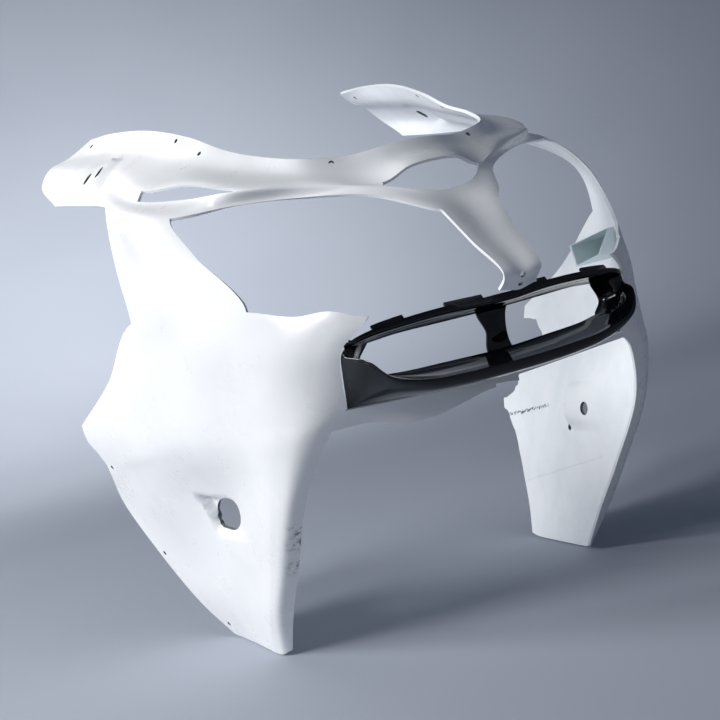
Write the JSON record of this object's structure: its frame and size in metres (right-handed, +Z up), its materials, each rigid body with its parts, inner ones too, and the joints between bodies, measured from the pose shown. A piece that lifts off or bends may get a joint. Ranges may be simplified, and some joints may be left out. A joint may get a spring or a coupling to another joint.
{
  "type": "motorcycle upper fairing",
  "caption": "Sport motorcycle upper fairing: white moulded shell with twin headlamp openings, mirror pads and a black air intake surround.",
  "frame": {"origin": "on the symmetry plane at the height of the lower edges, midway between nose and rear", "axes": "+X towards the bike's left, +Y towards the rear, +Z up"},
  "size_m": [0.542, 0.6276, 0.5372],
  "materials": {
    "white_plastic": "satin white moulded plastic, scuffed",
    "black_plastic": "gloss black moulded plastic"
  },
  "bodies": {
    "root": {"fairing_shell": "white_plastic", "intake_surround": "black_plastic", "lamp_pocket_right": "white_plastic", "lamp_pocket_left": "white_plastic"}
  },
  "joints": []
}
